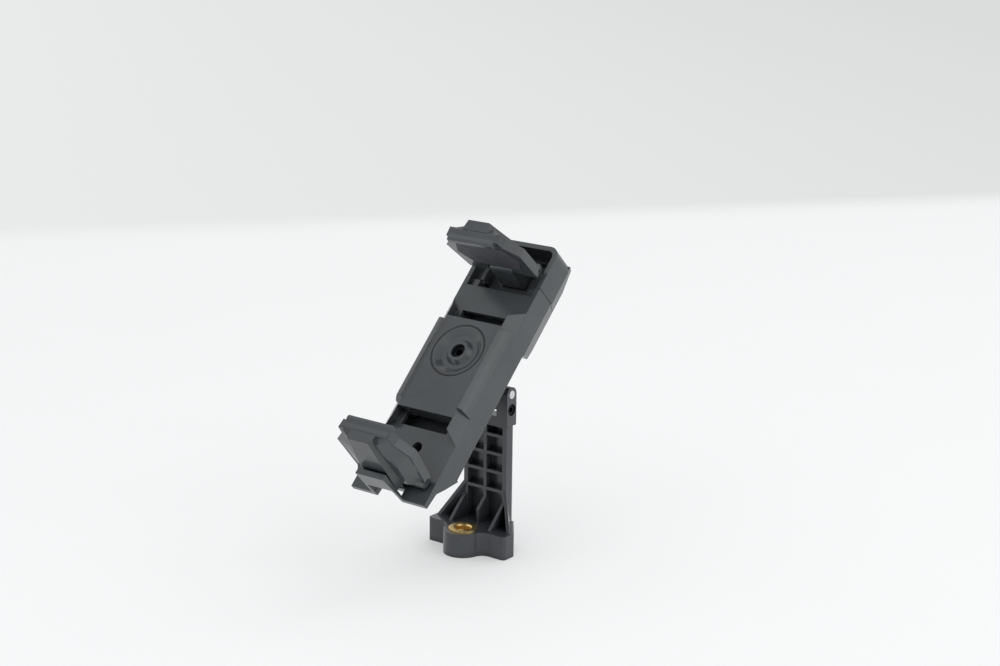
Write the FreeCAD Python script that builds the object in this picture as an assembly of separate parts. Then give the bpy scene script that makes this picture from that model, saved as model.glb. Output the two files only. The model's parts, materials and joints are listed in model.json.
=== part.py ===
import FreeCAD, Part
import math
import os

# Tripod phone mount adapter: a ribbed post on a threaded foot carries a tilting and
# swivelling clamp plate, whose upper end slides on sprung rods and whose two jaws fold flat.
# Millimetres. World frame: origin on the tripod thread's axis at the foot's base,
# X to the right, -Y towards the phone, Z up.
# The clamp is drawn flat in its own frame and then leaned back: x to the right,
# v up along the plate, w out of its front, with w = 0 on the front panel.

V = FreeCAD.Vector

# Clearances
run_gap = 0.05
press_gap = 0.02
slide_gap = 0.2
part_gap = 0.3

# Foot
foot_height = 8.0
foot_half = 16.0
foot_front = 1.4
foot_end_rear = 6.7
foot_corner = 1.2
boss_radius = 6.5
boss_blend = 3.5

# Thread insert, for a quarter-inch tripod screw
insert_radius = 4.75
insert_minor = 2.6
insert_proud = 0.5
insert_mouth = 0.45

# Post, a ribbed lattice open to the front
post_half = 8.8
post_front = 11.5
post_rear = 16.0
post_web = 1.4
post_wall = 1.6
post_rib = 1.2
post_round = 1.6
rib_thick = 1.1
rib_first = 19.0
rib_pitch = 6.35

# Gussets and side skirts between post and foot
gusset_thick = 1.2
gusset_top = 16.2
gusset_toe = 3.4
gusset_mid_toe = 7.8
skirt_top = 20.0
skirt_thick = 1.3
skirt_toe = 5.0
skirt_inset = 0.4

# Head of the post, a fork round the tilt pin
head_base = 41.8
head_proud = 0.4
head_bevel = 0.6
pin_y = 13.6
pin_z = 52.5
pin_radius = 1.4
pin_proud = 0.1
ear_radius = 2.5
fork_half = 4.8
fork_floor = 44.8
tension_z = 47.3
tension_radius = 1.0
tension_head = 1.9
tension_head_deep = 1.7
tension_socket = 1.6
nut_flats = 4.0
nut_thick = 1.6
washer_thick = 0.35
washer_radius = 2.4

# Tilt of the plate from the vertical, and the plate's height over the tilt pin
lean = 45.0
stack = 24.0

# Clamp frame, a hollow moulding with a separate rear cover
plate_half = 15.0
plate_top = 29.5
plate_bottom = -52.7
panel_shoulder = 3.6
skin = 1.8
rear_join = -11.4
rear_face = -13.0
floor_w = -3.6
floor_thick = 1.6
bay_shelf = 3.8
bay_step = 4.2
bay_top = 11.8
bay_bottom = -23.2
bay_floor_end = 26.2
slot_inset = 1.9
slot_wide = 4.6
rail_wide = 4.0
rail_high = 1.0
rail_top = 10.0
rail_bottom = -20.0
end_rear = -5.4
heel_one = (-47.0, -6.2)
heel_two = (-44.0, -8.8)
heel_three = -38.5
vent_x = 1.2
vent_v = -34.5
vent_radius = 1.9
cover_edge = 0.8
cover_screw_radius = 0.85
cover_screw_head = 1.7
cover_screw_long = 5.2
cover_boss = 2.2
cover_screw_head_high = 0.8
cover_screw_edge = 5.5
cover_screw_v = -32.8

# Hump on the rear, shared by the cover and the slider
hump_w = -18.3
hump_inset = 0.4
hump_taper = 2.0
hump_rise = 1.5
hump_shoulder_w = -17.6
hump_crown = 14.0
hump_wall = 1.5
hump_ledge = 3.6

# Slider at the upper end
travel = 25.0
slider_top = 45.6
slider_wall = 1.7
slider_corner = 4.0
slider_fall = 37.6
slider_tail = 44.6
slider_tail_w = -15.4
rod_side_gap = 1.9
rod_w = -8.3
rod_radius = 0.9
rod_low = -22.0
rod_high = 35.8
collar_radius = 1.6
collar_long = 2.6
guide_low = 14.0
guide_wall = 1.4
spring_radius = 1.38
spring_wire = 0.36
spring_room = 0.72
block_low = 30.2
tongue_thick = 1.1
tongue_low = -20.0

# Turntable: a front disc and a rear hub that hold the frame's web between them
disc_margin = 1.8
disc_thick = 2.8
disc_gap = 0.15
hub_ring_wide = 1.1
disc_groove_in = 4.7
disc_groove_out = 6.3
disc_groove_deep = 1.4
disc_rim = 1.2
web_thick = 2.2
cup_wall = 1.65
neck_step = 1.55
hub_room = 1.5
flange_step = 1.3
flange_thick = 2.2
lug_half = 4.4
lug_root = 4.2
swivel_screw_radius = 1.5
swivel_screw_head = 2.35
swivel_screw_head_high = 0.9
swivel_screw_long = 12.0
swivel_bore = 2.5
swivel_bore_deep = 2.1
swivel_washer_edge = 0.45
swivel_washer_wide = 2.0
swivel_washer_thick = 0.35

# Jaws, both alike. s runs from the pivot to the tip and t from the phone outwards.
open_angle = 83.2
pivot_w = -1.0
upper_pivot_v = 34.4
lower_pivot_v = -45.8
jaw_pin_radius = 0.9
jaw_inner = 2.3
jaw_thick = 3.2
jaw_root_inset = 1.4
jaw_tip_gap = 0.7
knuckle_inset = 0.7
lug_width_half = 4.6
lug_radius = 2.9
lip_deep = 1.8
rib_root_high = 5.8
rib_tip_high = 4.2
rib_root_half = 5.7
rib_tip_half = 4.2
crown_high = 2.1
crown_half = 8.5
crown_bend = 9.5
crown_tip_half = 5.8
crown_tip_bend = 4.4
crown_inset = 0.9
rib_draft = 0.25
pad_deep = 0.9
pad_proud = 0.1
pad_root = 3.8
pad_root_inset = 4.2
pad_side_inset = 2.4
pad_tip_inset = 5.7
pad_tip_gap = 5.2
pad_bend = 11.9
stop_high = 8.5
stop_half = 5.65
stop_foot_half = 6.5
arch_half = 5.0
arch_top = 1.5

# Values that follow from those above
panel_half = plate_half - panel_shoulder
bay_half = plate_half - bay_shelf
slot_half = bay_half - slot_inset
rail_inner = plate_half - rail_wide
inner_half = plate_half - skin
rib_count = int((head_base - rib_first - rib_thick) / rib_pitch) + 1
rod_x = inner_half - rod_side_gap
guide_front = rod_x - guide_wall
hub_bore = rod_x - spring_radius - spring_room - hub_room
hub_radius = hub_bore - slide_gap
neck_radius = hub_radius - neck_step
flange_radius = hub_radius + flange_step
disc_radius = panel_half - disc_margin
cup_radius = disc_radius + disc_gap + cup_wall
tongue_half = inner_half - slide_gap
tongue_slot_half = hub_bore + hub_room + part_gap
hump_half = plate_half - hump_inset
hump_crown_half = hump_half - hump_taper
hump_inner_half = plate_half - hump_ledge
hump_foot = flange_radius + part_gap
hump_shoulder = hump_foot + hump_rise
jaw_wide_half = plate_half
jaw_root_half = jaw_wide_half - jaw_root_inset
jaw_tip_half = bay_half - jaw_tip_gap
knuckle_half = jaw_root_half - knuckle_inset
lip_half = slot_half - part_gap
cover_screw_x = plate_half - cover_screw_edge
floor_back = floor_w - floor_thick
jaw_outer = jaw_thick - jaw_inner
jaw_reach = upper_pivot_v - bay_top - part_gap
barrel_radius = jaw_inner
disc_back = -disc_thick
pocket_floor = disc_back - swivel_washer_thick - run_gap
web_back = pocket_floor - web_thick
flange_front = rear_face - part_gap - 0.1
tongue_back = rear_join + run_gap
tongue_front = tongue_back + tongue_thick
slider_base = plate_top + slide_gap
head_half = post_half + head_proud
head_front = pin_y - ear_radius
head_rear = pin_y + ear_radius


def box(x0, x1, y0, y1, z0, z1):
    return Part.makeBox(x1 - x0, y1 - y0, z1 - z0, V(x0, y0, z0))


def rod(radius, start, direction, length):
    return Part.makeCylinder(radius, length, V(*start), V(*direction))


def wire(points):
    return Part.makePolygon([V(*p) for p in points] + [V(*points[0])])


def slab(points, direction):
    return Part.Face(wire(points)).extrude(V(*direction))


def side_slab(points, half):
    # A side outline in (v, w), drawn through the whole width
    return slab([(-half, v, w) for v, w in points], (2 * half, 0, 0))


def cross_slab(points, v0, v1):
    # A cross-section in (x, w), drawn along the plate
    return slab([(x, v0, w) for x, w in points], (0, v1 - v0, 0))


def plan_slab(points, w0, w1):
    # A front outline in (x, v), drawn through the plate
    return slab([(x, v, w0) for x, v in points], (0, 0, w1 - w0))


def faceted(near, far):
    # A solid between two outlines with as many corners; a side that isn't flat folds once
    half = len(near) // 2
    faces = [Part.Face(wire(near)), Part.Face(wire(far))]
    for k in range(len(near)):
        a, b, c, d = near[k - 1], near[k], far[k], far[k - 1]
        if k < half:
            faces += [Part.Face(wire([a, b, c])), Part.Face(wire([a, c, d]))]
        else:
            faces += [Part.Face(wire([a, b, d])), Part.Face(wire([b, c, d]))]
    solid = Part.Solid(Part.Shell(faces))
    if solid.Volume < 0:
        solid.reverse()
    return solid


def turned(profile):
    # A profile in (radius, w), turned about the swivel axis
    face = Part.Face(wire([(r, 0, w) for r, w in profile]))
    return face.revolve(V(0, 0, 0), V(0, 0, 1), 360)


def join(shapes):
    whole = shapes[0]
    for shape in shapes[1:]:
        whole = whole.fuse(shape)
    return whole.removeSplitter()


def carve(shape, tools):
    for tool in tools:
        shape = shape.cut(tool)
    return shape.removeSplitter()


def mirrored(points):
    # A right-hand half outline closed by its mirror image
    return points + [(-p[0],) + tuple(p[1:]) for p in reversed(points)]


def upright_edges(shape, test):
    found = []
    for edge in shape.Edges:
        if edge.Curve.TypeId != "Part::GeomLine":
            continue
        a, b = edge.Vertexes[0].Point, edge.Vertexes[-1].Point
        flat = math.hypot(a.x - b.x, a.y - b.y)
        if flat < 1e-6 and abs(a.z - b.z) > 1 and test(a.x, a.y):
            found.append(edge)
    return found


def lean_back(shape):
    # Puts a solid from the flat clamp frame onto the tilt pin
    turn = FreeCAD.Rotation(V(1, 0, 0), lean)
    shift = V(0, pin_y, pin_z) - turn.multVec(V(0, 0, -stack))
    placed = shape.copy()
    placed.Placement = FreeCAD.Placement(shift, turn).multiply(placed.Placement)
    return placed


def foot_block():
    # The bar's plan narrows to the post behind, and a round boss bulges out in front
    plan = mirrored([(foot_half, foot_front), (foot_half, foot_end_rear), (post_half, post_rear)])
    bar = plan_slab(plan, 0, foot_height)
    corners = upright_edges(bar, lambda x, y: abs(x) > foot_half - 0.1)
    bar = bar.makeFillet(foot_corner, corners)
    block = join([bar, rod(boss_radius, (0, 0, 0), (0, 0, 1), foot_height)])
    inner = upright_edges(block, lambda x, y: abs(x) < boss_radius + 0.1 and abs(y - foot_front) < 0.1)
    return block.makeFillet(boss_blend, inner)


def post_lattice():
    shaft = box(-post_half, post_half, post_front, post_rear, foot_height - 1, head_base + 1)
    rear = upright_edges(shaft, lambda x, y: y > post_rear - 0.1)
    shaft = shaft.makeFillet(post_round, rear)
    cell_in = post_rib / 2
    cell_out = post_half - post_wall
    levels = [rib_first + k * rib_pitch for k in range(rib_count)]
    lows = [foot_height] + [z + rib_thick / 2 for z in levels]
    highs = [z - rib_thick / 2 for z in levels] + [head_base - rib_thick / 2]
    cells = []
    for low, high in zip(lows, highs):
        for side in (-1, 1):
            x0, x1 = sorted((side * cell_in, side * cell_out))
            cells.append(box(x0, x1, post_front - 1, post_rear - post_web, low, high))
    return carve(shaft, cells)


def gusset(x0, x1, outline):
    return slab([(x0, y, z) for y, z in outline], (x1 - x0, 0, 0))


def skirt(side):
    # A thin wall that leaves the post's side and spreads to the end of the foot
    top = [(side * post_half, post_front), (side * (post_half - skirt_thick), post_front),
           (side * (post_half - skirt_thick), post_rear - post_round),
           (side * post_half, post_rear - post_round)]
    toe = foot_half - skirt_inset
    low = [(side * toe, skirt_toe), (side * (toe - skirt_thick), skirt_toe),
           (side * (post_half - skirt_thick), post_rear - post_round),
           (side * post_half, post_rear - post_round)]
    upper = [(x, y, skirt_top) for x, y in top]
    lower = [(x, y, foot_height - 0.5) for x, y in low]
    return faceted(lower, upper)


def post_foot():
    head = box(-head_half, head_half, head_front, head_rear, head_base, pin_z)
    bevel_low = (head_front + head_bevel, head_base)
    bevel_high = (head_front, head_base + head_bevel)
    bevel = [(head_front, head_base), bevel_low, bevel_high]
    head = head.cut(slab([(-head_half, y, z) for y, z in bevel], (2 * head_half, 0, 0)))
    eye = rod(ear_radius, (-head_half, pin_y, pin_z), (1, 0, 0), 2 * head_half)
    outer = [(post_front + 0.2, gusset_top), (gusset_toe, foot_height), (gusset_toe, foot_height - 0.5),
             (post_front + 0.2, foot_height - 0.5)]
    middle = [(post_front + 0.2, gusset_top), (gusset_mid_toe, gusset_top - post_front + gusset_mid_toe),
              (gusset_mid_toe, foot_height - 0.5), (post_front + 0.2, foot_height - 0.5)]
    shapes = [foot_block(), post_lattice(), head, eye, skirt(-1), skirt(1)]
    for side in (-1, 1):
        x0, x1 = sorted((side * post_half, side * (post_half - gusset_thick)))
        shapes.append(gusset(x0, x1, outer))
    shapes.append(gusset(-gusset_thick / 2, gusset_thick / 2, middle))
    tools = [
        box(-fork_half, fork_half, head_front - 1, head_rear + 1, fork_floor, pin_z + ear_radius + 1),
        rod(pin_radius, (-head_half - 1, pin_y, pin_z), (1, 0, 0), 2 * head_half + 2),
        rod(tension_radius + run_gap, (-head_half - 1, pin_y, tension_z), (1, 0, 0), 2 * head_half + 2),
        rod(tension_head + 0.1, (head_half - tension_head_deep, pin_y, tension_z), (1, 0, 0), 3),
        nut_prism(nut_flats + 0.1, -head_half - 1, 1 + nut_thick),
        rod(insert_radius, (0, 0, -1), (0, 0, 1), foot_height + 2),
    ]
    return carve(join(shapes), tools)


def nut_prism(flats, x0, length):
    corner = flats / 2 / math.cos(math.radians(30))
    turns = [math.radians(60 * k) for k in range(6)]
    ring = [(x0, pin_y + corner * math.sin(a), tension_z + corner * math.cos(a)) for a in turns]
    return slab(ring, (length, 0, 0))


def thread_insert():
    # A brass bush with a flat rim and a chamfered mouth
    top = foot_height + insert_proud
    outer = insert_radius - press_gap
    outline = [(insert_minor, 0), (outer, 0), (outer, top), (insert_minor + insert_mouth, top),
               (insert_minor, top - insert_mouth)]
    return turned(outline)


def tilt_pin():
    half = head_half + pin_proud
    return rod(pin_radius - press_gap, (-half, pin_y, pin_z), (1, 0, 0), 2 * half)


def tilt_washers():
    rings = []
    for side in (-1, 1):
        start = lug_half + 0.02 if side > 0 else -lug_half - 0.02 - washer_thick
        ring = rod(washer_radius, (start, pin_y, pin_z), (1, 0, 0), washer_thick)
        rings.append(ring.cut(rod(pin_radius + run_gap, (start - 1, pin_y, pin_z), (1, 0, 0), 3)))
    return Part.makeCompound(rings)


def tension_screw():
    seat = head_half - tension_head_deep
    shank = rod(tension_radius, (-head_half + 0.3, pin_y, tension_z), (1, 0, 0), seat + head_half - 0.3)
    head = rod(tension_head, (seat, pin_y, tension_z), (1, 0, 0), 1.3)
    return join([shank, head]).cut(nut_prism(tension_socket, seat + 0.4, 2))


def tension_nut():
    body = nut_prism(nut_flats, -head_half + 0.1, nut_thick - 0.2)
    return body.cut(rod(tension_radius + press_gap, (-head_half - 1, pin_y, tension_z), (1, 0, 0), 4))


def turntable():
    flange_back = flange_front - flange_thick
    profile = [(0, disc_back), (neck_radius, disc_back), (neck_radius, web_back - slide_gap),
               (hub_radius, web_back - slide_gap), (hub_radius, flange_front), (flange_radius, flange_front),
               (flange_radius, flange_back), (0, flange_back)]
    hub = turned(profile)
    arm = side_slab([(lug_root, flange_back + 0.1), (-lug_root, flange_back + 0.1), (-ear_radius, -stack),
                     (ear_radius, -stack)], lug_half)
    barrel = rod(ear_radius, (-lug_half, 0, -stack), (1, 0, 0), 2 * lug_half)
    tools = [
        rod(pin_radius + run_gap, (-lug_half - 1, 0, -stack), (1, 0, 0), 2 * lug_half + 2),
        rod(swivel_screw_radius, (0, 0, disc_back - swivel_screw_long), (0, 0, 1), swivel_screw_long + 1),
    ]
    return carve(join([hub, arm, barrel]), tools)


def swivel_disc():
    # A raised rim, a dished ring groove, a raised hub and a well for the screw
    bore = swivel_screw_radius + 0.1
    ring = swivel_bore + hub_ring_wide
    profile = [(bore, disc_back), (bore, -swivel_bore_deep), (swivel_bore, -swivel_bore_deep),
               (swivel_bore, -0.1), (ring, -0.1), (disc_groove_in, -disc_groove_deep),
               (disc_groove_out, -disc_groove_deep), (disc_radius - disc_rim, 0), (disc_radius, 0),
               (disc_radius, disc_back)]
    return turned(profile)


def swivel_screw():
    seat = -swivel_bore_deep
    head = rod(swivel_screw_head, (0, 0, seat), (0, 0, 1), swivel_screw_head_high)
    end = disc_back - swivel_screw_long + 0.5
    shank = rod(swivel_screw_radius - press_gap, (0, 0, end), (0, 0, 1), seat - end)
    return join([head, shank]).cut(nut_socket(1.25, seat - 0.8, 3))


def nut_socket(corner, w0, length):
    turns = [math.radians(60 * k) for k in range(6)]
    return plan_slab([(corner * math.cos(a), corner * math.sin(a)) for a in turns], w0, w0 + length)


def swivel_washer():
    base = disc_back - swivel_washer_thick
    inner = neck_radius + swivel_washer_edge
    ring = rod(inner + swivel_washer_wide, (0, 0, base), (0, 0, 1), swivel_washer_thick)
    return ring.cut(rod(inner, (0, 0, base - 1), (0, 0, 1), 3))


def bay(start, toward, end):
    # The stepped outline of a recess that takes a folded jaw
    step = start + toward * bay_step
    flare = step + toward * (plate_half + 1 - bay_half)
    half = [(bay_half, start), (bay_half, step), (plate_half + 1, flare), (plate_half + 1, end)]
    return plan_slab(mirrored(half), floor_w, 4)


def slot(start, toward):
    v0, v1 = sorted((start, start + toward * slot_wide))
    return box(-slot_half, slot_half, v0, v1, floor_back - 0.5, floor_w + 0.5)


def rail(side):
    x0 = side * rail_inner
    outline = [(x0, -0.4), (x0 + side * 0.5, rail_high - 0.25), (x0 + side * 1.2, rail_high),
               (x0 + side * 2.2, rail_high - 0.4), (x0 + side * 3.2, -1.0), (side * plate_half, -2.6),
               (side * plate_half, floor_w - 0.4), (x0, floor_w - 0.4)]
    bead = cross_slab(outline, rail_bottom - 2, rail_top + 2)
    ends = side_slab([(rail_bottom - 1.4, floor_w - 1), (rail_bottom, rail_high + 0.2),
                      (rail_top, rail_high + 0.2), (rail_top + 1.4, floor_w - 1)], plate_half + 1)
    return bead.common(ends)


def pivot_lug(pivot_v, root_w):
    # The centre knuckle that carries a jaw's pin
    knuckle = rod(lug_radius, (-lug_width_half, pivot_v, pivot_w), (1, 0, 0), 2 * lug_width_half)
    stem = box(-lug_width_half, lug_width_half, pivot_v - lug_radius, pivot_v + lug_radius, root_w, pivot_w)
    return knuckle.fuse(stem)


def pin_hole(radius, pivot_v):
    return rod(radius, (-plate_half - 1, pivot_v, pivot_w), (1, 0, 0), 2 * plate_half + 2)


def jaw_turn(shape, pivot_v, upper):
    # Swings a jaw from its folded drawing up to the open angle and onto its pivot
    placed = shape.copy()
    if upper:
        placed.rotate(V(0, 0, 0), V(0, 0, 1), 180)
    placed.rotate(V(0, 0, 0), V(1, 0, 0), -open_angle if upper else open_angle)
    placed.translate(V(0, pivot_v, pivot_w))
    return placed


def stop_bridge():
    # An arched block at the lower end; the open jaw's rib comes to rest on it
    outline = mirrored([(stop_foot_half, end_rear), (stop_half, stop_high)])
    block = cross_slab(outline, plate_bottom, plate_bottom + 4)
    swing = box(-plate_half, plate_half, -4, 30, -10, rib_root_high + slide_gap)
    block = block.cut(jaw_turn(swing, lower_pivot_v, False))
    arch = box(-arch_half, arch_half, plate_bottom - 1, plate_bottom + 3, end_rear - 1, arch_top - 1.5)
    crown = rod(arch_half, (0, plate_bottom - 1, arch_top - 1.5), (0, 1, 0), 4)
    band = box(-arch_half, arch_half, plate_bottom - 1, plate_bottom + 3, arch_top - 2, arch_top)
    return carve(block, [arch, crown.common(band)])


def cover_screw_spots():
    return [(side * cover_screw_x, cover_screw_v) for side in (-1, 1)]


def clamp_frame():
    section = mirrored([(plate_half, rear_face), (plate_half, floor_w), (panel_half, 0)])
    outline = [(plate_top, 0), (plate_bottom, 0), (plate_bottom, end_rear), heel_one, heel_two,
               (heel_three, rear_face), (heel_three, rear_join), (plate_top, rear_join)]
    body = cross_slab(section, plate_bottom, plate_top).common(side_slab(outline, plate_half))
    body = join([body, rail(-1), rail(1)])
    roof = mirrored([(inner_half, floor_back - 0.1), (inner_half, floor_w - 0.8), (panel_half - 0.8, -skin)])
    hollows = [
        bay(bay_top, 1, plate_top + 1),
        bay(bay_bottom, -1, plate_bottom - 1),
        box(-inner_half, inner_half, heel_three + skin, plate_top + 1, rear_join - 1, floor_back),
        box(-inner_half, inner_half, bay_floor_end, plate_top + 1, rear_join - 1, 1),
        cross_slab(roof, bay_bottom + skin, bay_top - skin),
    ]
    body = carve(body, hollows)
    additions = [body, rod(cup_radius, (0, 0, web_back), (0, 0, 1), -web_back - 0.5)]
    for side in (-1, 1):
        wall = side * (inner_half + 0.1)
        x0, x1 = sorted((side * (cover_screw_x - cover_boss), wall))
        additions.append(box(x0, x1, cover_screw_v - cover_boss, cover_screw_v + cover_boss,
                             rear_join, floor_back + 0.3))
        x0, x1 = sorted((side * guide_front, wall))
        additions.append(box(x0, x1, guide_low, plate_top, tongue_front + slide_gap, floor_back + 0.1))
    additions += [pivot_lug(lower_pivot_v, floor_w - 0.5), stop_bridge()]
    holes = [
        rod(disc_radius + disc_gap, (0, 0, pocket_floor), (0, 0, 1), 10),
        rod(neck_radius + run_gap, (0, 0, -20), (0, 0, 1), 30),
        slot(bay_top, 1),
        slot(bay_bottom, -1),
        rod(vent_radius, (vent_x, vent_v, floor_back - 1), (0, 0, 1), 4),
        box(-arch_half, arch_half, plate_bottom - 1, lower_pivot_v - lug_radius - 0.4,
            end_rear - 4, floor_w + 0.3),
        pin_hole(jaw_pin_radius + press_gap, lower_pivot_v),
    ]
    for side in (-1, 1):
        holes.append(rod(rod_radius + run_gap, (side * rod_x, guide_low - 1, rod_w), (0, 1, 0), plate_top))
    screw_deep = cover_screw_long + 0.4
    for x, v in cover_screw_spots():
        holes.append(rod(cover_screw_radius + press_gap, (x, v, rear_face), (0, 0, 1), screw_deep))
    return carve(join(additions), holes)


def hump(outline, crown_half, root_half):
    section = mirrored([(root_half, rear_join), (root_half, rear_face), (crown_half, hump_w)])
    v0 = min(p[0] for p in outline)
    v1 = max(p[0] for p in outline)
    return side_slab(outline, plate_half).common(cross_slab(section, v0, v1))


def hump_hollow(outline):
    section = mirrored([(hump_inner_half, rear_join + 0.1), (hump_inner_half - 0.6, hump_w + hump_wall)])
    v0 = min(p[0] for p in outline)
    v1 = max(p[0] for p in outline)
    return side_slab(outline, plate_half).common(cross_slab(section, v0, v1))


def rear_cover():
    plate = box(-plate_half, plate_half, heel_three + slide_gap, plate_top, rear_face, rear_join)
    rear = [e for e in plate.Edges if e.BoundBox.ZMax < rear_face + 0.01 and e.BoundBox.YLength > 1]
    plate = plate.makeChamfer(cover_edge, rear)
    outer = [(hump_foot, rear_face + 0.2), (hump_foot, rear_face), (hump_shoulder, hump_shoulder_w),
             (hump_crown, hump_w), (plate_top, hump_w), (plate_top, rear_face + 0.2)]
    inner = [
        (hump_shoulder + hump_wall, rear_join + 0.1),
        (hump_shoulder + hump_wall, hump_shoulder_w + hump_wall),
        (hump_crown, hump_w + hump_wall),
        (plate_top + 1, hump_w + hump_wall),
        (plate_top + 1, rear_join + 0.1),
    ]
    tools = [hump_hollow(inner), rod(hub_bore, (0, 0, rear_face - 1), (0, 0, 1), 5)]
    for x, v in cover_screw_spots():
        tools.append(rod(cover_screw_radius + 0.15, (x, v, rear_face - 1), (0, 0, 1), 5))
    return carve(join([plate, hump(outer, hump_crown_half, hump_half)]), tools)


def cover_screws():
    screws = []
    for x, v in cover_screw_spots():
        head_spot = (x, v, rear_face - cover_screw_head_high)
        head = rod(cover_screw_head, head_spot, (0, 0, 1), cover_screw_head_high)
        shank = rod(cover_screw_radius, (x, v, rear_face), (0, 0, 1), cover_screw_long)
        screws.append(join([head, shank]))
    return Part.makeCompound(screws)


def jaw_pin(pivot_v):
    half = knuckle_half - part_gap
    return rod(jaw_pin_radius, (-half, pivot_v, pivot_w), (1, 0, 0), 2 * half)


def slider_cap():
    plan = plan_slab(mirrored([(plate_half, slider_base), (plate_half, slider_top)]), rear_face, floor_w)
    plan = plan.makeFillet(slider_corner, upright_edges(plan, lambda x, v: v > slider_top - 0.1))
    outer = [(slider_base, rear_face + 0.2), (slider_base, hump_w), (slider_fall, hump_w),
             (slider_tail, slider_tail_w), (slider_tail, rear_face + 0.2)]
    shell = join([plan, hump(outer, hump_crown_half, hump_half)])
    well_half = plate_half - slider_wall
    well_plan = mirrored([(well_half, slider_base - 1), (well_half, slider_top - slider_wall)])
    well = plan_slab(well_plan, rear_join, 1)
    well = well.makeFillet(slider_corner - slider_wall,
                           upright_edges(well, lambda x, v: v > slider_top - slider_wall - 0.1))
    deep = [(slider_base - 1, rear_join + 0.1), (slider_base - 1, hump_w + hump_wall),
            (slider_fall, hump_w + hump_wall), (slider_tail - hump_wall, slider_tail_w + hump_wall),
            (slider_tail - hump_wall, rear_join + 0.1)]
    shell = carve(shell, [well, hump_hollow(deep)])
    shapes = [shell, pivot_lug(upper_pivot_v, hump_w + 0.5)]
    for side in (-1, 1):
        x0, x1 = sorted((side * (rod_x - 1.6), side * (well_half + 0.1)))
        shapes.append(box(x0, x1, block_low, rod_high + 0.4, tongue_front + run_gap, rod_w + 2.1))
    lug_hole = 2 * lug_width_half + 1
    tools = [rod(jaw_pin_radius + press_gap, (-lug_hole / 2, upper_pivot_v, pivot_w), (1, 0, 0), lug_hole)]
    for side in (-1, 1):
        tools.append(rod(rod_radius + press_gap, (side * rod_x, block_low - 1, rod_w), (0, 1, 0),
                         rod_high - block_low + 1.05))
    return carve(join(shapes), tools)


def slider_tongue():
    # A thin runner that stays in the frame at full travel and straddles the hub
    high = rod_high + 0.2
    plate = box(-tongue_half, tongue_half, tongue_low, high, tongue_back, tongue_front)
    notch = lug_width_half + slide_gap
    tools = [
        box(-tongue_slot_half, tongue_slot_half, tongue_low - 1, tongue_slot_half,
            tongue_back - 1, tongue_front + 1),
        box(-notch, notch, upper_pivot_v - lug_radius - slide_gap, high + 1,
            tongue_back - 1, tongue_front + 1),
    ]
    return carve(plate, tools)


def both_sides(make):
    return Part.makeCompound([make(-1), make(1)])


def guide_rod(side):
    return rod(rod_radius, (side * rod_x, rod_low, rod_w), (0, 1, 0), rod_high - rod_low)


def rod_collar(side):
    ring = rod(collar_radius, (side * rod_x, rod_low, rod_w), (0, 1, 0), collar_long)
    bore = rod(rod_radius + press_gap, (side * rod_x, rod_low - 1, rod_w), (0, 1, 0), collar_long + 2)
    return ring.cut(bore)


def slide_spring(side):
    # The space that the coil fills, from the collar up to the guide
    low = rod_low + collar_long + run_gap
    long = guide_low - run_gap - low
    sleeve = rod(spring_radius, (side * rod_x, low, rod_w), (0, 1, 0), long)
    return sleeve.cut(rod(spring_radius - spring_wire, (side * rod_x, low - 1, rod_w), (0, 1, 0), long + 2))


def jaw_outline(inset, tip):
    # Half outline in (x, s): narrow root, widest two thirds out, bevelled to the tip
    bevel_start = upper_pivot_v - bay_top - bay_step - jaw_wide_half + bay_half - 0.5
    return mirrored([(jaw_root_half - inset, -barrel_radius + inset), (jaw_wide_half - inset, bevel_start),
                     (jaw_tip_half + 0.1 - inset, bevel_start + jaw_wide_half - jaw_tip_half),
                     (jaw_tip_half - 0.2 - inset, tip)])


def jaw_rib():
    # The finger rib that runs down the middle of a jaw's outside, with drafted flanks
    base = jaw_outer - 0.2
    root_low_half = rib_root_half + rib_draft * (rib_root_high - base)
    root = mirrored([(root_low_half, base), (rib_root_half, rib_root_high)])
    low_half = rib_tip_half + rib_draft * (rib_tip_high - base)
    tip = mirrored([(low_half, base), (rib_tip_half, rib_tip_high)])
    near = [(x, 0.6, t) for x, t in root]
    far = [(x, jaw_reach - 0.4, t) for x, t in tip]
    return faceted(near, far)


def jaw_crown():
    # Sloping shoulders from the rib down to the edges
    low = jaw_outline(crown_inset, jaw_reach - 1.2)
    top = mirrored([
        (crown_half, 0.8),
        (crown_half, crown_bend),
        (crown_tip_half, crown_bend + crown_tip_bend),
        (crown_tip_half - 0.3, jaw_reach - 2.6),
    ])
    near = [(x, s, jaw_outer - 0.05) for x, s in low]
    far = [(x, s, jaw_outer + crown_high) for x, s in top]
    return faceted(near, far)


def pad_outline(gap):
    return mirrored([(jaw_root_half - pad_root_inset - gap, pad_root + gap),
                     (jaw_wide_half - pad_side_inset - gap, jaw_reach - pad_bend),
                     (jaw_wide_half - pad_tip_inset - gap, jaw_reach - pad_tip_gap - gap)])


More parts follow.
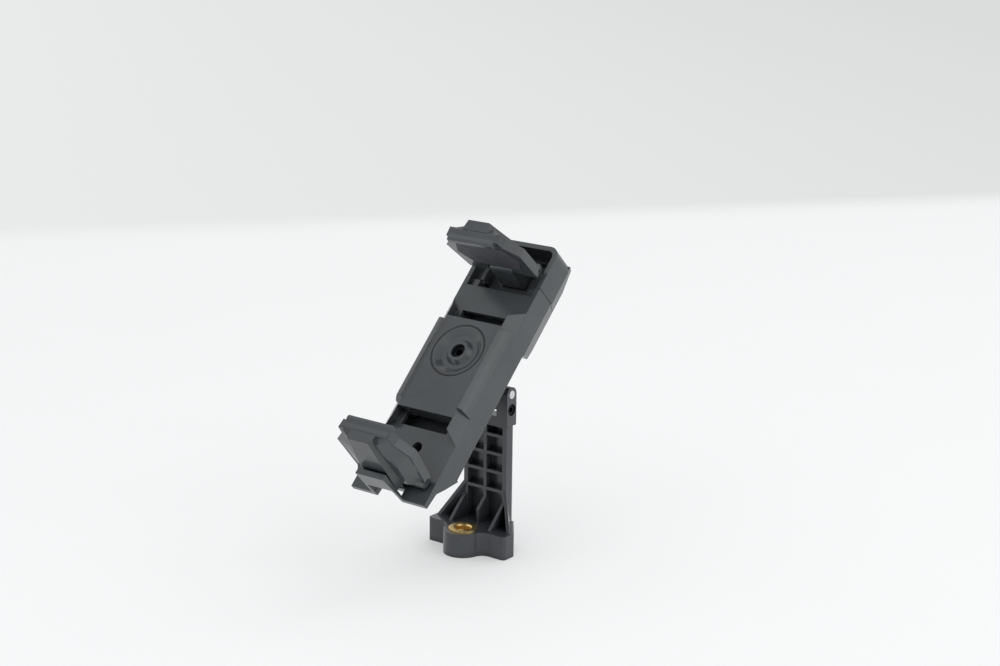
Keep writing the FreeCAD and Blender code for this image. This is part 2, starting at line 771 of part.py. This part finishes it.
def jaw():
    plate = plan_slab(jaw_outline(0, jaw_reach - 0.6), -jaw_inner, jaw_outer)
    lip = [(jaw_reach - 3.2, jaw_outer), (jaw_reach - 0.7, jaw_outer), (jaw_reach - 0.3, 0.3),
           (jaw_reach - 0.6, -1.5), (jaw_reach, -3.0), (jaw_reach - 0.2, -jaw_inner - lip_deep + 0.2),
           (jaw_reach - 1.6, -jaw_inner - lip_deep), (jaw_reach - 4.0, -jaw_inner)]
    edge = side_slab(lip, lip_half)
    barrel = rod(barrel_radius, (-knuckle_half, 0, 0), (1, 0, 0), 2 * knuckle_half)
    heel = box(-plate_half, plate_half, -barrel_radius - 1, 0, -jaw_inner - 1, jaw_outer + 1)
    plate = plate.cut(heel)
    room = lug_radius + part_gap
    half = lug_width_half + part_gap
    tools = [
        rod(room, (-half, 0, 0), (1, 0, 0), 2 * half),
        box(-half, half, -8, 0, -room, room),
        box(-half, half, -room, room, -8, 0),
        rod(jaw_pin_radius + run_gap, (-plate_half - 1, 0, 0), (1, 0, 0), 2 * plate_half + 2),
        plan_slab(pad_outline(0), -jaw_inner - 1, -jaw_inner + pad_deep),
    ]
    return carve(join([plate, edge, barrel, jaw_crown(), jaw_rib()]), tools)


def jaw_pad():
    return plan_slab(pad_outline(run_gap), -jaw_inner - pad_proud, -jaw_inner + pad_deep)


def lower_side(shape):
    return jaw_turn(shape, lower_pivot_v, False)


def upper_side(shape):
    return jaw_turn(shape, upper_pivot_v, True)


os.makedirs("parts", exist_ok=True)

world_parts = {
    "post_foot": post_foot(),
    "thread_insert": thread_insert(),
    "tilt_pin": tilt_pin(),
    "tilt_washers": tilt_washers(),
    "tension_screw": tension_screw(),
    "tension_nut": tension_nut(),
}

clamp_parts = {
    "turntable": turntable(),
    "swivel_disc": swivel_disc(),
    "swivel_screw": swivel_screw(),
    "swivel_washer": swivel_washer(),
    "clamp_frame": clamp_frame(),
    "rear_cover": rear_cover(),
    "cover_screws": cover_screws(),
    "lower_jaw_pin": jaw_pin(lower_pivot_v),
    "slider_cap": slider_cap(),
    "slider_tongue": slider_tongue(),
    "guide_rods": both_sides(guide_rod),
    "rod_collars": both_sides(rod_collar),
    "upper_jaw_pin": jaw_pin(upper_pivot_v),
    "left_spring": slide_spring(-1),
    "right_spring": slide_spring(1),
    "upper_jaw": upper_side(jaw()),
    "upper_pad": upper_side(jaw_pad()),
    "lower_jaw": lower_side(jaw()),
    "lower_pad": lower_side(jaw_pad()),
}

for name, shape in world_parts.items():
    shape.exportStep("parts/" + name + ".step")
for name, shape in clamp_parts.items():
    lean_back(shape).exportStep("parts/" + name + ".step")
    if not shape.isValid():
        print("not valid:", name)
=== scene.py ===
import json
import math

import bmesh
import bpy
from mathutils import Matrix, Vector


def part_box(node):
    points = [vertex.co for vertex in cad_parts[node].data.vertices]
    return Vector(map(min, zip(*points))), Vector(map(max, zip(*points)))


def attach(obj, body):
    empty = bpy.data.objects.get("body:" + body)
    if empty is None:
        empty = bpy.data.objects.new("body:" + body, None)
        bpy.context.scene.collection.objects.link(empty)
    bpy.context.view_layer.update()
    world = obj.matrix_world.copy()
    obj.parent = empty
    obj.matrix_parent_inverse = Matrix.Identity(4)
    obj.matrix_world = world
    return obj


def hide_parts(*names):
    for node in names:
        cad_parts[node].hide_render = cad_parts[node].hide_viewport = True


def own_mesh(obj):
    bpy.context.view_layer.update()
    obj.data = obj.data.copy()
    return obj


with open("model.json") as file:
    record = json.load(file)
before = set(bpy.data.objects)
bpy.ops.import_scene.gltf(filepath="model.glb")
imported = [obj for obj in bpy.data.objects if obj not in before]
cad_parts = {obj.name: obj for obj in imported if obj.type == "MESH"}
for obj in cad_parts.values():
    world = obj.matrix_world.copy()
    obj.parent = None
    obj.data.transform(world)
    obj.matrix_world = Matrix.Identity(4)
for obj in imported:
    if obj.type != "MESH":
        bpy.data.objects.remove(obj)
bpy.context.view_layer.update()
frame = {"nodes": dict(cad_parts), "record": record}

MM = 0.001

# The clamp's own frame: x across, v up the plate, w out of its front
LEAN = math.radians(45.0)
TILT_PIN = Vector((0.0, 13.6, 52.5)) * MM
PLATE_OVER_PIN = 24.0 * MM
ACROSS = Vector((1.0, 0.0, 0.0))
ALONG = Vector((0.0, math.sin(LEAN), math.cos(LEAN)))
OUT = Vector((0.0, -math.cos(LEAN), math.sin(LEAN)))
DISC_CENTRE = TILT_PIN + OUT * PLATE_OVER_PIN


def clamp_place(x, v, w):
    # Stands a piece drawn about Z on the plate, its Z up along the plate
    spot = DISC_CENTRE + ACROSS * (x * MM) + ALONG * (v * MM) + OUT * (w * MM)
    return Matrix.Translation(spot) @ Matrix((ACROSS, -OUT, ALONG)).transposed().to_4x4()


def linear(code):
    channels = [int(code[i:i + 2], 16) / 255 for i in (0, 2, 4)]
    return [c / 12.92 if c <= 0.04045 else ((c + 0.055) / 1.055) ** 2.4 for c in channels] + [1.0]


def per_size(millimetres):
    # The scale at which a pattern's features are this large
    return 1.0 / (millimetres * MM)


# Materials: colours in sRGB, pattern sizes in mm
SHELL_TONES = ("36393C", "404547")
POST_TONES = ("33353A", "3F4246")
# Painted shade colour for the nylon in corners, gaps and recesses
NYLON_PAINTED_SHADE = "131416"
NYLON_GLOSS = (0.16, 0.27)
NYLON_IOR = 1.53
RUBBER_TONES = ("3E3E44", "48484F")
# Painted shade colour for the rubber in corners, gaps and recesses
RUBBER_PAINTED_SHADE = "1A1A1D"
RUBBER_GLOSS = (0.62, 0.76)
METAL_GLOSS_SPREAD = 0.14
# Reach in mm and strength range of the painted shade in corners and gaps
PAINTED_SHADE_REACH = 4.0
PAINTED_SHADE_RANGE = (0.2, 0.75)
MOTTLE_RANGE = (0.32, 0.68)
HAZE_RANGE = (0.3, 0.7)
HAZE_PER_MOTTLE = 5
# Width and fade, in mm, of the painted shadow line at the disc's edge
PAINTED_RIM_SHADOW_MM = 0.5
PAINTED_RIM_SHADOW_FADE_MM = 0.12


def new_material(name):
    material = bpy.data.materials.new(name)
    material.use_nodes = True
    return material, material.node_tree.nodes["Principled BSDF"]


def add_node(material, kind, settings, links):
    node = material.node_tree.nodes.new(kind)
    for key, value in settings.items():
        if key in node.inputs:
            node.inputs[key].default_value = value
        else:
            setattr(node, key, value)
    for key, source in links.items():
        material.node_tree.links.new(source, node.inputs[key])
    return node


def finish_surface(name, painted_shade_tone, tones, mottle_mm, rough, grain_mm, grain_depth, edge_mm):
    # One recipe for every finish: slow colour mottling, painted shade that darkens it in gaps,
    # corners and recesses, uneven gloss, a fine grain and eased edges
    material, shader = new_material(name)
    place = add_node(material, "ShaderNodeTexCoord", {}, {}).outputs["Object"]
    mottle = add_node(material, "ShaderNodeTexNoise",
                      {"Scale": per_size(mottle_mm), "Detail": 4.0, "Roughness": 0.6}, {"Vector": place})
    blend = add_node(material, "ShaderNodeMapRange",
                     {"From Min": MOTTLE_RANGE[0], "From Max": MOTTLE_RANGE[1]},
                     {"Value": mottle.outputs["Fac"]})
    colour = add_node(material, "ShaderNodeMix",
                      {"data_type": "RGBA", "A": linear(tones[0]), "B": linear(tones[1])},
                      {"Factor": blend.outputs["Result"]})
    # Painted shade: ambient occlusion turns the colour dark in gaps, corners and recesses
    painted_shade_occlusion = add_node(material, "ShaderNodeAmbientOcclusion",
                       {"samples": 12, "Distance": PAINTED_SHADE_REACH * MM}, {})
    painted_shade_mask = add_node(material, "ShaderNodeMapRange",
                       {"From Min": PAINTED_SHADE_RANGE[0], "From Max": PAINTED_SHADE_RANGE[1]},
                       {"Value": painted_shade_occlusion.outputs["AO"]})
    tone_with_painted_shade = add_node(material, "ShaderNodeMix", {"data_type": "RGBA", "A": linear(painted_shade_tone)},
                    {"Factor": painted_shade_mask.outputs["Result"], "B": colour.outputs["Result"]})
    haze = add_node(material, "ShaderNodeTexNoise",
                    {"Scale": per_size(mottle_mm / HAZE_PER_MOTTLE), "Detail": 5.0, "Roughness": 0.65},
                    {"Vector": place})
    gloss = add_node(material, "ShaderNodeMapRange",
                     {"From Min": HAZE_RANGE[0], "From Max": HAZE_RANGE[1],
                      "To Min": rough[0], "To Max": rough[1]},
                     {"Value": haze.outputs["Fac"]})
    grain = add_node(material, "ShaderNodeTexNoise",
                     {"Scale": per_size(grain_mm), "Detail": 2.0, "Roughness": 0.5}, {"Vector": place})
    eased = add_node(material, "ShaderNodeBevel", {"samples": 6, "Radius": edge_mm * MM}, {})
    bump = add_node(material, "ShaderNodeBump", {"Strength": 0.5, "Distance": grain_depth * MM},
                    {"Height": grain.outputs["Fac"], "Normal": eased.outputs["Normal"]})
    links = material.node_tree.links
    links.new(tone_with_painted_shade.outputs["Result"], shader.inputs["Base Color"])
    links.new(gloss.outputs["Result"], shader.inputs["Roughness"])
    links.new(bump.outputs["Normal"], shader.inputs["Normal"])
    return material, shader


def moulded_nylon(name, tones, edge_mm):
    # Glass-filled nylon from a polished mould: dark grey, with soft reflections. The fine flow texture
    # is drawn at 0.5 mm, so that it shows.
    material, shader = finish_surface(name, NYLON_PAINTED_SHADE, tones, 22.0, NYLON_GLOSS, 0.5, 0.008, edge_mm)
    shader.inputs["IOR"].default_value = NYLON_IOR
    return material


def disc_nylon():
    # The shell's nylon, with a painted shadow line where the disc's rim turns down into the gap round it
    material = moulded_nylon("glass_filled_nylon_disc", SHELL_TONES, 0.1)
    base = material.node_tree.nodes["Principled BSDF"].inputs["Base Color"]
    tone_with_painted_shade = base.links[0].from_socket
    disc_low, disc_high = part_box("swivel_disc")
    radius = (disc_high[0] - disc_low[0]) / 2
    place = add_node(material, "ShaderNodeTexCoord", {}, {}).outputs["Object"]
    centred = add_node(material, "ShaderNodeMapping",
                       {"vector_type": "TEXTURE", "Location": DISC_CENTRE, "Scale": [radius] * 3},
                       {"Vector": place})
    inward = add_node(material, "ShaderNodeTexGradient", {"gradient_type": "SPHERICAL"},
                      {"Vector": centred.outputs["Vector"]})
    # Painted shadow: a dark ring just inside the disc's edge
    rim = add_node(material, "ShaderNodeMapRange",
                   {"From Min": PAINTED_RIM_SHADOW_MM * MM / radius, "From Max": (PAINTED_RIM_SHADOW_MM + PAINTED_RIM_SHADOW_FADE_MM) * MM / radius},
                   {"Value": inward.outputs["Fac"]})
    # The colour with the painted shadow ring mixed in
    turned = add_node(material, "ShaderNodeMix", {"data_type": "RGBA", "A": linear(NYLON_PAINTED_SHADE)},
                      {"Factor": rim.outputs["Result"], "B": tone_with_painted_shade})
    material.node_tree.links.new(turned.outputs["Result"], base)
    return material


def grip_rubber():
    # Thermoplastic rubber: matt, slightly violet black, with a leathery grain
    material, shader = finish_surface("thermoplastic_rubber", RUBBER_PAINTED_SHADE, RUBBER_TONES, 9.0,
                                      RUBBER_GLOSS, 0.6, 0.03, 0.15)
    shader.inputs["Specular IOR Level"].default_value = 0.35
    return material


def bare_metal(name, tones, rough):
    # Turned or drawn metal: bright, with faint tool marks. Its painted shade in corners only turns it to
    # the darker of its own two colours.
    material, shader = finish_surface(name, tones[0], tones, 3.0, (rough, rough + METAL_GLOSS_SPREAD),
                                      0.4, 0.006, 0.1)
    shader.inputs["Metallic"].default_value = 1.0
    return material


materials = {
    "shell_plastic": moulded_nylon("glass_filled_nylon_shell", SHELL_TONES, 0.3),
    "post_plastic": moulded_nylon("glass_filled_nylon_post", POST_TONES, 0.3),
    "grip_rubber": grip_rubber(),
    "brass": bare_metal("turned_brass", ("EBC981", "FAE2AC"), 0.24),
    "steel": bare_metal("zinc_plated_steel", ("BFC0C2", "DCDDDF"), 0.2),
    "black_steel": bare_metal("black_oxide_steel", ("18191B", "26272A"), 0.34),
}

slots = {part["node"]: part["material_slot"] for part in frame["record"]["subparts"]}
for name, node in frame["nodes"].items():
    node.data.materials.clear()
    node.data.materials.append(materials[slots[name]])
frame["nodes"]["swivel_disc"].data.materials[0] = disc_nylon()


def add_piece(name, work, place, slot_name, body):
    # Closes a drawn piece's ends, puts it in its place and lets it ride on a body
    open_ends = [edge for edge in work.edges if edge.is_boundary]
    bmesh.ops.holes_fill(work, edges=open_ends, sides=0)
    bmesh.ops.recalc_face_normals(work, faces=work.faces)
    bmesh.ops.transform(work, matrix=place, verts=work.verts)
    for face in work.faces:
        face.smooth = len(face.verts) == 4
    mesh = bpy.data.meshes.new(name)
    work.to_mesh(mesh)
    work.free()
    mesh.materials.append(materials[slot_name])
    piece = bpy.data.objects.new(name, mesh)
    bpy.context.scene.collection.objects.link(piece)
    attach(piece, body)
    return piece


def wind(work, turns, steps_per_turn, pitch):
    # Winds the drawn section round Z and up by one pitch each turn
    bmesh.ops.spin(work, geom=work.verts[:] + work.edges[:], cent=(0, 0, 0), axis=(0, 0, 1),
                   dvec=(0, 0, pitch / steps_per_turn), angle=math.tau * turns,
                   steps=turns * steps_per_turn, use_merge=False)


# Return springs, coiled round the guide rods, in mm in the clamp's frame
ROD_X = 11.3
ROD_W = -8.3
SPRING_LOW = -19.3
SPRING_HIGH = 13.9
SPRING_COILS = 17
SPRING_MEAN = 1.2
SPRING_WIRE = 0.17
WIRE_SIDES = 6
COIL_STEPS = 18


def return_spring(side, node):
    work = bmesh.new()
    section = Matrix.Translation((SPRING_MEAN * MM, 0, 0)) @ Matrix.Rotation(math.pi / 2, 4, "X")
    bmesh.ops.create_circle(work, segments=WIRE_SIDES, radius=SPRING_WIRE * MM, matrix=section)
    wind(work, SPRING_COILS, COIL_STEPS, (SPRING_HIGH - SPRING_LOW - 2 * SPRING_WIRE) / SPRING_COILS * MM)
    place = clamp_place(side * ROD_X, SPRING_LOW + SPRING_WIRE, ROD_W)
    coil = add_piece(node + "_coil", work, place, "steel", "frame")
    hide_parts(node)
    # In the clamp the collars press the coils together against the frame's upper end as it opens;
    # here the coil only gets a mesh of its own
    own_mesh(coil)


return_spring(-1, "left_spring")
return_spring(1, "right_spring")


# Thread inside the brass insert, 20 threads to the inch, in mm
INSERT_MINOR = 2.6
INSERT_TOP = 8.05
THREAD_PITCH = 1.27
THREAD_DEPTH = 0.42
THREAD_ROOT = 0.05
THREAD_HALF_BASE = 0.45
THREAD_TURNS = 5
THREAD_STEPS = 40


def insert_thread():
    work = bmesh.new()
    low = (INSERT_TOP - THREAD_TURNS * THREAD_PITCH) / 2
    section = [(THREAD_ROOT, -THREAD_HALF_BASE), (-THREAD_DEPTH, 0.0), (THREAD_ROOT, THREAD_HALF_BASE)]
    corners = [work.verts.new((INSERT_MINOR * MM + dr * MM, 0, (low + dz) * MM)) for dr, dz in section]
    for k, corner in enumerate(corners):
        work.edges.new((corners[k - 1], corner))
    wind(work, THREAD_TURNS, THREAD_STEPS, THREAD_PITCH * MM)
    add_piece("insert_thread", work, Matrix.Identity(4), "brass", "stand")


insert_thread()

# Camera, at the photograph's viewing angle
AZIMUTH = math.radians(37.4)
ELEVATION = math.radians(14.8)
ROLL = math.radians(0.7)
DISTANCE = 0.650
FOCAL_PIXELS = 2030.0
IMAGE_WIDTH = 1000.0
SENSOR_WIDTH = 36.0
DISC_PIXEL = (457.7, 350.3)
CENTRE_PIXEL = (500.0, 333.0)


def photo_camera():
    look = Vector((-math.sin(AZIMUTH) * math.cos(ELEVATION), math.cos(AZIMUTH) * math.cos(ELEVATION),
                   -math.sin(ELEVATION)))
    level = Vector((math.cos(AZIMUTH), math.sin(AZIMUTH), 0))
    upright = level.cross(look)
    right = level * math.cos(ROLL) + upright * math.sin(ROLL)
    up = upright * math.cos(ROLL) - level * math.sin(ROLL)
    aside = (DISC_PIXEL[0] - CENTRE_PIXEL[0]) / FOCAL_PIXELS
    below = (DISC_PIXEL[1] - CENTRE_PIXEL[1]) / FOCAL_PIXELS
    spot = DISC_CENTRE - (look + right * aside - up * below) * DISTANCE
    data = bpy.data.cameras.new("camera")
    data.sensor_width = SENSOR_WIDTH
    data.lens = SENSOR_WIDTH * FOCAL_PIXELS / IMAGE_WIDTH
    data.clip_start = 0.01
    camera = bpy.data.objects.new("camera", data)
    bpy.context.scene.collection.objects.link(camera)
    camera.matrix_world = Matrix.Translation(spot) @ Matrix((right, up, -look)).transposed().to_4x4()
    bpy.context.scene.camera = camera


photo_camera()

# Pale studio floor, in metres, which turns slightly greyer behind a soft slanting line
PAPER_TONES = ("EFF1F1", "F2F3F3")
NEAR_TONE = "F6F7F7"
# Backdrop colours from left to right; the darker right one is painted falloff of light
FAR_TONES = ("ECEDED", "DBDDDD")
FIBRE_MM = 60.0
FLOOR_HALF = 6.0
FLOOR_LINE = 0.527
FLOOR_LINE_SOFT = 0.035
FLOOR_LINE_SLANT = math.radians(14.0)
FAR_LEFT = -0.35
FAR_RIGHT = 0.9
NEAR_GLOW = 0.35


def studio_floor():
    material, shader = new_material("matt_studio_paper")
    place = add_node(material, "ShaderNodeTexCoord", {}, {}).outputs["Object"]
    fibre = add_node(material, "ShaderNodeTexNoise", {"Scale": per_size(FIBRE_MM), "Detail": 3.0},
                     {"Vector": place})
    paper = add_node(material, "ShaderNodeMix",
                     {"data_type": "RGBA", "A": linear(PAPER_TONES[0]), "B": linear(PAPER_TONES[1])},
                     {"Factor": fibre.outputs["Fac"]})
    turned = add_node(material, "ShaderNodeVectorRotate",
                      {"rotation_type": "Z_AXIS", "Angle": -(AZIMUTH + FLOOR_LINE_SLANT)},
                      {"Vector": place})
    axes = add_node(material, "ShaderNodeSeparateXYZ", {}, {"Vector": turned.outputs["Vector"]})
    behind = add_node(material, "ShaderNodeMapRange",
                      {"interpolation_type": "SMOOTHSTEP", "From Min": FLOOR_LINE - FLOOR_LINE_SOFT,
                       "From Max": FLOOR_LINE + FLOOR_LINE_SOFT}, {"Value": axes.outputs["Y"]})
    # Painted shade: the far backdrop grows darker towards the right, as light falls off across it
    painted_backdrop_falloff = add_node(material, "ShaderNodeMapRange", {"From Min": FAR_LEFT, "From Max": FAR_RIGHT},
                        {"Value": axes.outputs["X"]})
    wall = add_node(material, "ShaderNodeMix",
                    {"data_type": "RGBA", "A": linear(FAR_TONES[0]), "B": linear(FAR_TONES[1])},
                    {"Factor": painted_backdrop_falloff.outputs["Result"]})
    # The far part has its own even brightness, to the eye and in reflections alone. The near part has a
    # share of it, which keeps the shadow as faint as in the photograph.
    even = add_node(material, "ShaderNodeMix", {"data_type": "RGBA", "A": linear(NEAR_TONE)},
                    {"Factor": behind.outputs["Result"], "B": wall.outputs["Result"]})
    share = add_node(material, "ShaderNodeMapRange", {"To Min": NEAR_GLOW, "To Max": 1.0},
                     {"Value": behind.outputs["Result"]})
    rays = add_node(material, "ShaderNodeLightPath", {}, {})
    seen = add_node(material, "ShaderNodeMath", {"operation": "MAXIMUM"}, {})
    even_share = add_node(material, "ShaderNodeMath", {"operation": "MULTIPLY"}, {})
    links = material.node_tree.links
    links.new(rays.outputs["Is Camera Ray"], seen.inputs[0])
    links.new(rays.outputs["Is Glossy Ray"], seen.inputs[1])
    links.new(seen.outputs["Value"], even_share.inputs[0])
    links.new(share.outputs["Result"], even_share.inputs[1])
    glow = add_node(material, "ShaderNodeEmission", {"Strength": 1.0}, {"Color": even.outputs["Result"]})
    shader.inputs["Roughness"].default_value = 0.6
    shader.inputs["Specular IOR Level"].default_value = 0.2
    links.new(paper.outputs["Result"], shader.inputs["Base Color"])
    surface = add_node(material, "ShaderNodeMixShader", {}, {"Fac": even_share.outputs["Value"]})
    links.new(shader.outputs["BSDF"], surface.inputs[1])
    links.new(glow.outputs["Emission"], surface.inputs[2])
    links.new(surface.outputs["Shader"], material.node_tree.nodes["Material Output"].inputs["Surface"])
    work = bmesh.new()
    bmesh.ops.create_grid(work, x_segments=1, y_segments=1, size=FLOOR_HALF)
    mesh = bpy.data.meshes.new("floor")
    work.to_mesh(mesh)
    work.free()
    mesh.materials.append(material)
    floor = bpy.data.objects.new("floor", mesh)
    bpy.context.scene.collection.objects.link(floor)


studio_floor()

# Large soft lamps round the part, turned to its middle, and an even pale surrounding
AIM = Vector((0, 0, 0.05))
SURROUNDING_TONE = "F6F7F8"
SURROUNDING_STRENGTH = 0.92


def soft_light(name, azimuth, elevation, distance, size, power):
    data = bpy.data.lights.new(name, "AREA")
    data.shape = "DISK"
    data.size = size
    data.energy = power
    lamp = bpy.data.objects.new(name, data)
    a = math.radians(azimuth)
    e = math.radians(elevation)
    away = Vector((math.sin(a) * math.cos(e), -math.cos(a) * math.cos(e), math.sin(e))) * distance
    lamp.location = AIM + away
    lamp.rotation_euler = away.to_track_quat("Z", "Y").to_euler()
    bpy.context.scene.collection.objects.link(lamp)


soft_light("key", azimuth=2.0, elevation=50.0, distance=1.2, size=1.0, power=2.3)
soft_light("side", azimuth=95.0, elevation=32.0, distance=1.2, size=0.9, power=2.1)
soft_light("back", azimuth=165.0, elevation=50.0, distance=1.3, size=0.9, power=1.5)

world = bpy.data.worlds.new("studio")
world.use_nodes = True
surrounding = world.node_tree.nodes["Background"]
surrounding.inputs["Color"].default_value = linear(SURROUNDING_TONE)
surrounding.inputs["Strength"].default_value = SURROUNDING_STRENGTH
bpy.context.scene.world = world
bpy.context.scene.view_settings.view_transform = "Standard"
